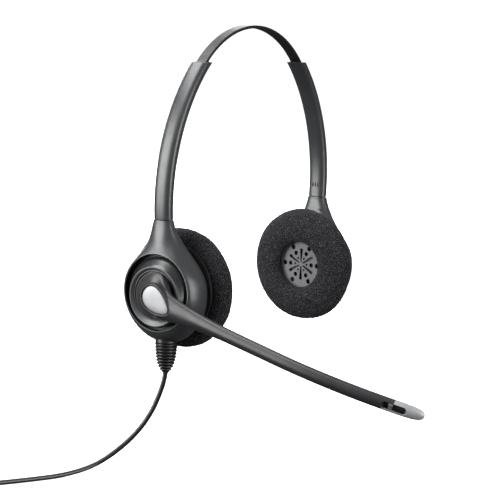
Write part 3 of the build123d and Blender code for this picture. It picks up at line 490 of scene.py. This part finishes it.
for side in SIDES:
    cushion(side)

# ---- arms ----

SIDE_CENTRE, SIDE_RADIUS = (-24.488, -80.857), 91.6
SEAM_ANGLE = math.radians(95.0)
SEAM_SLOPE = math.tan(SEAM_ANGLE - math.pi / 2)
ARM_HALF_THICK, ARM_HALF_WIDTH, ARM_POWER = 2.8, 4.8, 2.8
MOUTH_Z = {"left": -17.7, "right": -15.4}
ARM_POINTS, ARM_STATIONS = 72, 80
ARM_BEVEL, LIP_INSET, MOUTH_DEPTH = 0.25, 0.75, 9.0


def arm_section(n, grow=0.0):
    """The arm's crowned section, as (outward, along Y) offsets from its middle."""
    points = []
    for a in around(n):
        c, d = math.cos(a), math.sin(a)
        out = math.copysign(abs(c) ** (2 / ARM_POWER), c) * (ARM_HALF_THICK + grow)
        points.append((out, math.copysign(abs(d) ** (2 / ARM_POWER), d) * (ARM_HALF_WIDTH + grow)))
    return points


def on_arm(sign, angle, out, y):
    """A point of an arm from its angle round the side's curve, its offset outwards and its place along Y."""
    radius = SIDE_RADIUS + out
    return (sign * (SIDE_CENTRE[0] + radius * math.sin(angle)), y, SIDE_CENTRE[1] + radius * math.cos(angle))


def arm(side):
    """The curved arm: a level mouth at the top, a swept crowned body, and a radial end at the seam."""
    sign = SIDES[side]
    n = ARM_POINTS

    def mouth_angle(out):
        return math.acos((MOUTH_Z[side] - SIDE_CENTRE[1]) / (SIDE_RADIUS + out))

    def mouth_ring(section, below=0.0, out_share=1.0, y_share=1.0):
        return [on_arm(sign, mouth_angle(out) + below, out_share * out, y_share * y) for out, y in section]

    body, edge, lip = arm_section(n), arm_section(n, -ARM_BEVEL), arm_section(n, -LIP_INSET)
    bevel = ARM_BEVEL / SIDE_RADIUS
    verts = mouth_ring(lip) + mouth_ring(edge)
    for i in range(ARM_STATIONS + 1):
        for out, y in body:
            start = mouth_angle(out) + bevel
            verts.append(on_arm(sign, start + (SEAM_ANGLE - bevel - start) * i / ARM_STATIONS, out, y))
    verts += [on_arm(sign, SEAM_ANGLE, out, y) for out, y in edge]
    rings = ARM_STATIONS + 4
    faces = grid_faces(rings, n) + [tuple(range((rings - 1) * n, rings * n))]
    obj = make_mesh(f"{side}_arm", verts, faces, CHARCOAL, f"{side}_arm", sharp=30)
    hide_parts(f"{side}_arm_shell", f"{side}_arm_cover")
    well = mouth_ring(lip) + mouth_ring(lip, 0.2 * bevel, 0.92, 0.95)
    well += mouth_ring(lip, MOUTH_DEPTH / SIDE_RADIUS, 0.9, 0.93)
    make_mesh(f"{side}_arm_mouth", well, grid_faces(3, n), BLACK, f"{side}_arm")


MARK_POINTS, MARK_RADIUS, MARK_HALF, MARK_PITCH, MARK_RISE = 20, 0.4, 0.9, 1.5, 6.6
MARK_RINGS = ((-2.3, 0.0), (-2.8, 0.0), (-2.84, -0.08))  # (offset outwards, added to the radius)


def setting_marks(side):
    """Three small slots in the arm's inner face, just above the seam."""
    n = MARK_POINTS
    for i in range(3):
        verts = []
        for out, grow in MARK_RINGS:
            r = MARK_RADIUS + grow
            for a in around(n):
                y = r * math.cos(a) + (i - 1) * MARK_PITCH
                rise = MARK_RISE + math.copysign(MARK_HALF, math.sin(a)) + r * math.sin(a)
                verts.append(on_arm(SIDES[side], SEAM_ANGLE - rise / SIDE_RADIUS, out, y))
        faces = grid_faces(len(MARK_RINGS), n) + [tuple(range(2 * n, 3 * n)), tuple(range(n))]
        make_mesh(f"{side}_setting_mark_{i + 1}", verts, faces, BLACK, f"{side}_arm")


for side in SIDES:
    arm(side)
    setting_marks(side)

# ---- earpiece housings ----

SEAM_Z = -88.7  # above the cut between the arm and the housing, which trims it
POD_HALF_WIDTH, POD_DROP = 22.0, 23.25
OUTLINE_POINTS = 280
# (height, half width) of the teardrop outline, from the seam down to the pod's widest place
HALF_WIDTH = [
    (-123.75, 22.0), (-119.25, 21.6), (-115.25, 20.4), (-111.25, 17.9), (-107.25, 14.7), (-103.25, 11.5),
    (-99.25, 8.9), (-95.25, 6.95), (-91.25, 5.5), (SEAM_Z, 4.8),
]


def teardrop(count):
    """The housing's outline seen from the side, as (forward, height) from the ear's axis, evenly spaced."""
    low, high = HALF_WIDTH[0][0], HALF_WIDTH[-1][0]
    side = [(HALF_WIDTH[-1][1] * k / 12, SEAM_Z - EAR_Z) for k in range(12)]
    for k in range(120):
        z = high + (low - high) * k / 120
        side.append((smooth_table(HALF_WIDTH, z), z - EAR_Z))
    for k in range(91):
        a = math.radians(k)
        side.append((POD_HALF_WIDTH * math.cos(a), low - EAR_Z - (POD_DROP + EAR_Z - low) * math.sin(a)))
    loop = side + [(-y, z) for y, z in reversed(side[1:-1])]
    loop.append(loop[0])
    lengths = [0.0]
    for a, b in zip(loop, loop[1:]):
        lengths.append(lengths[-1] + math.dist(a, b))
    points, k = [], 0
    for j in range(count):
        want = lengths[-1] * j / count
        while lengths[k + 1] < want:
            k += 1
        f = (want - lengths[k]) / (lengths[k + 1] - lengths[k])
        points.append(tuple(a + (b - a) * f for a, b in zip(loop[k], loop[k + 1])))
    return points


def rounding(q, power):
    """From 0 at an edge, where it rises steeply, to 1 and level."""
    return (1 - (1 - min(1.0, q)) ** power) ** (1 / power)


OUT_STEPS = [
    0, 0.03, 0.07, 0.13, 0.2, 0.28, 0.36, 0.44, 0.52, 0.6, 0.67, 0.74, 0.8, 0.85, 0.89, 0.925, 0.952, 0.972,
    0.986, 0.995, 1.0,
]
# (rim's distance from the middle of the head, rim's radius, outline's distance from the middle)
POCKET = {"left": (72.4, 13.6, 64.6), "right": (73.8, 18.8, 64.4)}
RIM_INSIDE = ((-0.9, -0.35), (-0.3, -0.3), (-0.08, -0.15))
NECK_X, NECK_EDGE_X, NECK_BACK_X, BACK_X = 69.55, 66.9, 63.97, 60.05
NECK_FROM, BACK_RADIUS = 12.0, 12.0
LEAN_HEIGHT, SEAM_GAP = 20.0, 0.12


def housing(side):
    """The teardrop pod: rings from the pocket's rim over the shoulder to the outline and round the back."""
    sign = SIDES[side]
    rim_x, rim_r, edge_x = POCKET[side]
    outline = teardrop(OUTLINE_POINTS)
    top = SEAM_Z - EAR_Z

    def front_and_back(y, z):
        """The outer and inner faces' distances from the middle of the head at one place."""
        inside = min(math.dist((y, z), q) for q in outline if q[1] < top - 0.01)
        r = math.hypot(y, z)
        soft = ease(clamp((z - NECK_FROM) / (top - NECK_FROM)))
        edge = edge_x + (NECK_EDGE_X - edge_x) * soft
        across = inside + max(0.0, r - rim_r)
        if z > NECK_FROM:
            width = smooth_table(HALF_WIDTH, z + EAR_Z)
            across = -smax(-across, -0.97 * width, 2.5)
        f = clamp((r - rim_r) / (top - rim_r))
        ridge = rim_x + (NECK_X - rim_x) * (1 - (1 - f) ** 1.5)
        q = inside / max(across, 0.1)
        outer = edge + (ridge - edge) * rounding(q, 2.0 + (ARM_POWER - 2.0) * soft)
        floor = BACK_X + (NECK_BACK_X - BACK_X) * soft
        return outer, edge - (edge - floor) * rounding(inside / (7.0 - 2.4 * soft), ARM_POWER)

    far = [math.hypot(*q) for q in outline]
    turn = [math.atan2(*q) for q in outline]

    def ring_at(share, middle_r, face):
        """A ring that far from a middle circle to the outline, on the outer (0) or inner (1) face."""
        ring = []
        for r_out, a in zip(far, turn):
            r = middle_r + (r_out - middle_r) * share
            ring.append((front_and_back(r * math.sin(a), r * math.cos(a))[face], r))
        return ring

    rings = [[(rim_x + x, rim_r + r)] * len(outline) for x, r in RIM_INSIDE]
    rings += [ring_at(share, rim_r, 0) for share in OUT_STEPS]
    rings += [ring_at(share, BACK_RADIUS, 1) for share in reversed(OUT_STEPS[:-1])]
    verts = []
    for ring in rings:
        for (x, r), a in zip(ring, turn):
            z = EAR_Z + r * math.cos(a)
            lean = ease(clamp((SEAM_Z - z) / LEAN_HEIGHT))
            seam_z = SEAM[1] - SEAM_GAP - (x - SEAM[0]) * SEAM_SLOPE
            verts.append((sign * x, EAR_Y * lean - r * math.sin(a), min(z, seam_z)))
    n = len(outline)
    faces = grid_faces(len(rings), n)
    verts.append((sign * BACK_X, EAR_Y, EAR_Z))
    last = (len(rings) - 1) * n
    faces += [(last + j, last + (j + 1) % n, len(verts) - 1) for j in range(n)]
    if sign > 0:
        faces = [tuple(reversed(f)) for f in faces]
    obj = make_mesh(f"{side}_housing", verts, faces, CHARCOAL, f"{side}_earpiece", sharp=50)
    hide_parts(f"{side}_housing_shell", f"{side}_housing_cover")


for side in SIDES:
    housing(side)


NECK_HOLE_Y, NECK_HOLE_Z = -4.1, -95.5
NECK_HOLE_HALF = (1.15, 0.8)
# (distance from the middle of the head, share of the size)
NECK_HOLE_RINGS = ((64.6, 1.0), (63.12, 1.0), (63.02, 0.86), (63.2, 0.7))


def neck_hole():
    """A small dark oval in the left neck's inner face."""
    n = 32
    half_y, half_z = NECK_HOLE_HALF
    verts = []
    for x, size in NECK_HOLE_RINGS:
        for a in around(n):
            y = NECK_HOLE_Y + half_y * size * math.cos(a)
            verts.append((x, y, NECK_HOLE_Z + half_z * size * math.sin(a)))
    faces = grid_faces(4, n) + [tuple(range(n)), tuple(range(3 * n, 4 * n))]
    make_mesh("left_neck_hole", verts, faces, BLACK, "left_earpiece")


neck_hole()

# ---- turret on the boom's side ----


LIP_DROP = 0.6  # the face's middle lies this far below the hub's


def turret():
    """The stepped turret: a glossy flank in the pocket's black well, and the satin face round the hub."""
    lip_z = HUB_Z - LIP_DROP
    well = [(73.45, 18.45), (70.6, 18.4), (70.5, 15.0)]
    lathe("pocket_well", well, BLACK, "right_earpiece", [EAR_Z] * len(well))
    # (distance to the right, radius, share of the way from the ear's axis down to the lip's)
    flank = [
        (70.4, 16.9, 0.0), (71.8, 16.8, 0.0), (72.6, 16.4, 0.2), (73.6, 15.8, 0.55), (74.5, 15.1, 0.85),
        (75.1, 14.65, 1.0), (75.3, 14.5, 1.0),
    ]
    heights = [EAR_Z + (lip_z - EAR_Z) * share for _, _, share in flank]
    obj = lathe("boom_turret", [f[:2] for f in flank], TURRET, "right_earpiece", heights)
    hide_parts("turret_base")
    # The rim bead's lighter grey is a painted highlight, the thin light ring round the pocket's edge.
    bead = [(73.6, 18.3), (73.95, 18.36), (74.08, 18.52), (73.98, 18.74), (73.6, 18.9)]
    lathe("pocket_rim", bead, RIM_PAINTED_HIGHLIGHT, "right_earpiece", [EAR_Z] * len(bead))
    lip = [(75.3, 14.5), (75.5, 14.3), (75.6, 14.05), (75.58, 13.8), (75.4, 13.3)]
    dish = [
        (75.0, 12.6), (74.85, 12.3), (74.5, 12.2), (74.48, 12.05), (74.72, 11.95), (74.74, 11.75),
        (74.6, 11.6), (73.9, 11.5), (73.4, 11.4), (73.3, 9.0),
    ]
    heights = [lip_z] * len(lip) + [HUB_Z] * len(dish)
    lathe("turret_face", lip + dish, FACE, "right_earpiece", heights)


turret()

# ---- boom ----

PITCH = math.radians(14.0)
BOOM_X, BOOM_DROP = 78.4, 1.4
STRAIGHT, BEND, LENGTH = 75.0, 212.0, 148.8
CAP_AT, TIP_FROM = 134.5, 128.0  # where the silver cap starts, and where the microphone slot may be cut
STRIPE_FROM, STRIPE_LOW, STRIPE_HIGH = 129.6, -2.6, -1.6  # the cap's strip under the slot
BOOM_DEPTH, BOOM_POINTS = 2.5, 96
# (distance along, half height)
HALF_HEIGHT = [
    (-12, 8.4), (0, 8.2), (6, 7.45), (11, 6.5), (16, 5.65), (22, 4.85), (30, 4.1), (38, 3.6), (46, 3.28),
    (60, 3.15), (90, 3.1), (134, 3.1), (140, 3.05), (144, 2.85), (146.5, 2.4), (148, 1.7), (148.6, 1.0),
    (148.8, 0.3),
]
# (distance along, share of the depth)
NOSE = [(140, 1.0), (144, 0.9), (146.5, 0.72), (148, 0.5), (148.8, 0.12)]


def boom_point(s, inward, v):
    """A point of the boom from its distance along it, its offset towards the head and its height."""
    turn = max(0.0, s - STRAIGHT) / BEND
    x = min(s, STRAIGHT) + BEND * math.sin(turn) - math.sin(turn) * inward
    y = BEND * (1 - math.cos(turn)) + math.cos(turn) * inward
    along = Vector((0, -math.cos(PITCH), -math.sin(PITCH)))
    over = Vector((0, -math.sin(PITCH), math.cos(PITCH)))
    p = Vector((-BOOM_X, EAR_Y, HUB_Z - BOOM_DROP)) + along * x + over * v + Vector((1, 0, 0)) * y
    return tuple(p)


HUB_S, HUB_V, HUB_R = -BOOM_DROP * math.sin(PITCH), BOOM_DROP * math.cos(PITCH), 11.0
CROWN_S, CROWN_V, CROWN_R = 2.6, 2.0, 5.9  # the dome's top, round the insert's blunt end
DOME_FOOT, DOME_CREST = 4.1, -2.45  # offsets towards the head


def outlines(s):
    """The boom's upper and lower edges at a distance along it."""
    h = smooth_table(HALF_HEIGHT, s)
    d = HUB_R**2 - (s - HUB_S) ** 2
    if d <= 0:
        return (h, -h) if s > 0 else (HUB_V + 0.01, HUB_V - 0.01)
    c = math.sqrt(d)
    if s < -2:
        f = min(1.0, (-2 - s) / 5)
        up = (1 - f) * smax(HUB_V + c, h, 1.5) + f * (HUB_V + c)
        down = (1 - f) * smax(c - HUB_V, h, 1.5) + f * (c - HUB_V)
        return up, -down
    return smax(HUB_V + c, h, 2.5), -smax(c - HUB_V, h, 2.5)


def dome_share(s, v):
    """How far up the dome a place lies, from 0 at the hub's edge to 1 on the crown."""
    ds, dv, dr = CROWN_S - HUB_S, CROWN_V - HUB_V, CROWN_R - HUB_R
    ps, pv = s - HUB_S, v - HUB_V
    a = ds * ds + dv * dv - dr * dr
    b = -2 * (ps * ds + pv * dv + HUB_R * dr)
    c = ps * ps + pv * pv - HUB_R**2
    if c >= 0:
        return 0.0
    root = math.sqrt(max(0.0, b * b - 4 * a * c))
    return clamp((-b + root) / (2 * a))


INSERT_TILT = math.radians(33.0)
INSERT_Y, INSERT_Z = -7.0, -125.6
INSERT_HALF_LENGTH, INSERT_HALF_WIDTH, EGG_TAPER = 8.1, 5.2, 0.34
INSERT_MARGIN, INSERT_SINK = 0.9, 1.3  # how far round the insert the surface is sunk, and how deep


def egg_width(cosine):
    """The insert's half width, from the cosine of the angle from its pointed end."""
    return INSERT_HALF_WIDTH * (1 - EGG_TAPER * cosine)


def under_insert(s, v):
    """Whether a place on the boom lies under the insert or its gap, where the surface is sunk."""
    y = EAR_Y - s * math.cos(PITCH) - v * math.sin(PITCH) - INSERT_Y
    z = HUB_Z - BOOM_DROP - s * math.sin(PITCH) + v * math.cos(PITCH) - INSERT_Z
    along = -y * math.cos(INSERT_TILT) - z * math.sin(INSERT_TILT)
    across = -y * math.sin(INSERT_TILT) + z * math.cos(INSERT_TILT)
    length = INSERT_HALF_LENGTH + INSERT_MARGIN
    width = egg_width(max(-1.0, min(1.0, along / length))) + INSERT_MARGIN
    return math.hypot(along / length, across / width) < 1


def section_x(s, v, inner):
    """How far the surface lies from the centreline, towards the head."""
    h = smooth_table(HALF_HEIGHT, s)
    depth = BOOM_DEPTH * (1.0 if s < 140 else smooth_table(NOSE, s))
    tube = depth * math.sqrt(max(0.0, 1 - (v / h) ** 2))
    if s > 26:
        return tube if inner else -tube
    share = dome_share(s, v)
    if inner:
        root = clamp((14 - s) / 10)
        r = math.hypot(s - HUB_S, v - HUB_V) / HUB_R
        foot = DOME_FOOT * root
        return foot if r < 1 and s < 9 else max(tube * (1 - 0.3 * root), foot * max(0.0, 1 - (r - 1) * 1.5))
    dome = (DOME_FOOT - DOME_CREST) * share**1.15 - DOME_FOOT
    tube = (tube + DOME_FOOT) * ease(clamp((s + 1) / 9)) - DOME_FOOT
    return -smax(dome, tube, 1.4) + (INSERT_SINK if under_insert(s, v) else 0.0)


BACK_STATIONS, BACK_LENGTH = 14, 5.0
STATION_STEPS = ((50, 0.7), (126, 1.5), (145, 0.22), (LENGTH, 0.15))  # (up to this distance, step)


def boom_stations():
    """Distances along the boom: close together round the hub's back, the microphone slot and the nose."""
    start = HUB_S - HUB_R + 0.02
    quarter = [math.pi / 2 * i / BACK_STATIONS for i in range(BACK_STATIONS)]
    pts = [start + BACK_LENGTH * (1 - math.cos(a)) for a in quarter]
    s = start + BACK_LENGTH
    for end, step in STATION_STEPS:
        while s < end:
            pts.append(s)
            s += step
    return pts + [LENGTH]


SLOT_S, SLOT_HALF, SLOT_R, SLOT_SINK = 135.0, 4.1, 1.55, 1.9
SLOT_EDGE = 0.05  # the black lining reaches this far past the slot's outline


def slot_depth(s, v):
    """The share of the microphone slot's depth at a place on the boom, and the distance to its outline."""
    d = math.hypot(max(0.0, abs(s - SLOT_S) - SLOT_HALF), v + 0.1) - SLOT_R
    return clamp((0.12 - d) / 0.45), d


def boom():
    """The boom in one run of rings, parted into its body, the silver cap and the slot's black lining."""
    n = BOOM_POINTS
    stations = boom_stations()
    verts, tags = [], []
    for s in stations:
        up, down = outlines(s)
        mid, half = (up + down) / 2, (up - down) / 2
        for j in range(n):
            a = 2 * math.pi * (j + 0.5) / n
            v = mid + half * math.cos(a)
            inner = a > math.pi
            x = section_x(s, v, inner)
            if not inner and s > TIP_FROM:
                x += SLOT_SINK * slot_depth(s, v)[0]
            verts.append(boom_point(s, x, v))
            tags.append((s, v, inner))
    faces = grid_faces(len(stations), n)
    faces.append(tuple(range(n)))
    faces.append(tuple(reversed(range((len(stations) - 1) * n, len(stations) * n))))
    cap_faces, arm_faces, slot_faces = [], [], []
    for f in faces:
        s = sum(tags[i][0] for i in f) / len(f)
        v = sum(tags[i][1] for i in f) / len(f)
        outer = not any(tags[i][2] for i in f)
        if outer and s > TIP_FROM and slot_depth(s, v)[1] < SLOT_EDGE:
            slot_faces.append(f)
        elif s > CAP_AT or (outer and s > STRIPE_FROM and STRIPE_LOW < v < STRIPE_HIGH):
            cap_faces.append(f)
        else:
            arm_faces.append(f)
    order = (
        ("boom_body", arm_faces, BOOM_DARK, "shell"), ("boom_tip_cap", cap_faces, SILVER, "silver"),
        ("mic_slot_lining", slot_faces, BLACK, "inner_plastic"),
    )
    for name, chosen, mat, slot in order:
        used = sorted({i for f in chosen for i in f})
        index = {old: new for new, old in enumerate(used)}
        own_faces = [tuple(index[i] for i in f) for f in chosen]
        make_mesh(name, [verts[i] for i in used], own_faces, mat, "boom", sharp=50)
    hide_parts("boom_arm")
    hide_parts("mic_cap")


boom()


EGG_POINTS = 96


def egg_ring(scale, grow, x):
    """The insert's outline, blunt at the back and pointed forward and down, at one distance to the right."""
    pts = []
    for a in around(EGG_POINTS):
        along = (INSERT_HALF_LENGTH + grow) * scale * math.cos(a)
        across = (egg_width(math.cos(a)) + grow) * scale * math.sin(a)
        y = INSERT_Y - along * math.cos(INSERT_TILT) - across * math.sin(INSERT_TILT)
        z = INSERT_Z - along * math.sin(INSERT_TILT) + across * math.cos(INSERT_TILT)
        pts.append((-x, y, z))
    return pts


def insert():
    """The silver egg-shaped plate, left blank, with its surround and its dark gap."""
    n = EGG_POINTS
    # (share of the outline, distance to the right)
    rise = (
        (1.0, 79.5), (1.0, 80.85), (0.985, 80.98), (0.95, 81.05), (0.85, 81.13), (0.65, 81.2), (0.4, 81.24),
        (0.15, 81.26), (0.02, 81.26),
    )
    plate = [p for scale, x in rise for p in egg_ring(scale, 0.0, x)]
    faces = grid_faces(len(rise), n) + [tuple(range((len(rise) - 1) * n, len(rise) * n))]
    obj = make_mesh("boom_insert_plate", plate, faces, SILVER, "boom", sharp=35)
    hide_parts("boom_insert")
    # (distance outside the outline, distance to the right)
    lip = ((1.7, 79.3), (1.35, 80.75), (1.05, 80.98), (0.85, 80.98), (0.68, 80.8), (0.66, 79.5))
    lip_ring = [p for grow, x in lip for p in egg_ring(1.0, grow, x)]
    make_mesh("insert_surround", lip_ring, grid_faces(len(lip), n), BOOM_DARK, "boom", sharp=35)
    gap = ((0.7, 80.3), (-0.1, 80.3))
    gap_ring = [p for grow, x in gap for p in egg_ring(1.0, grow, x)]
    make_mesh("insert_gap", gap_ring, grid_faces(len(gap), n), BLACK, "boom", sharp=35)


insert()

# ---- strain relief ----

RELIEF_TOP, RELIEF_BOTTOM, RIB_COUNT = -147.4, -162.4, 9
RELIEF_POINTS = 96
EXIT = (-65.2, -2.3)  # where the cord leaves the strain relief, seen from above
# (height, radius) of the strain relief's taper
TAPER = [(-162.4, 1.9), (-160.2, 3.1), (-157.5, 4.3), (-153.0, 5.1), (-147.4, 5.4), (-144.0, 5.4)]


def strain_relief():
    """The ribbed rubber boot: nine rounded ribs on a taper that closes onto the cord."""
    pitch = (RELIEF_TOP - RELIEF_BOTTOM - 1.2) / RIB_COUNT
    profile = [(RELIEF_TOP + 3.0, 4.9), (RELIEF_TOP, 5.3)]
    for i in range(RIB_COUNT):
        top = RELIEF_TOP - 0.5 - i * pitch
        r = smooth_table(TAPER, top - 0.3 * pitch)
        groove = 0.72 * r if i > 6 else r - 0.85
        profile += [
            (top, groove), (top - 0.1 * pitch, r - 0.15), (top - 0.3 * pitch, r), (top - 0.5 * pitch, r),
            (top - 0.66 * pitch, r - 0.22), (top - 0.72 * pitch, groove),
        ]
    profile += [
        (RELIEF_BOTTOM + 0.5, 1.75), (RELIEF_BOTTOM + 0.1, 1.65), (RELIEF_BOTTOM, 1.45),
        (RELIEF_BOTTOM - 0.02, 1.0),
    ]
    verts = []
    for z, r in profile:
        verts += [(EXIT[0] + r * math.cos(a), EXIT[1] + r * math.sin(a), z) for a in around(RELIEF_POINTS)]
    faces = grid_faces(len(profile), RELIEF_POINTS)
    obj = make_mesh("cord_strain_relief", verts, faces, RUBBER, "right_earpiece", sharp=50)
    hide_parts("strain_relief")
    return obj


relief = strain_relief()
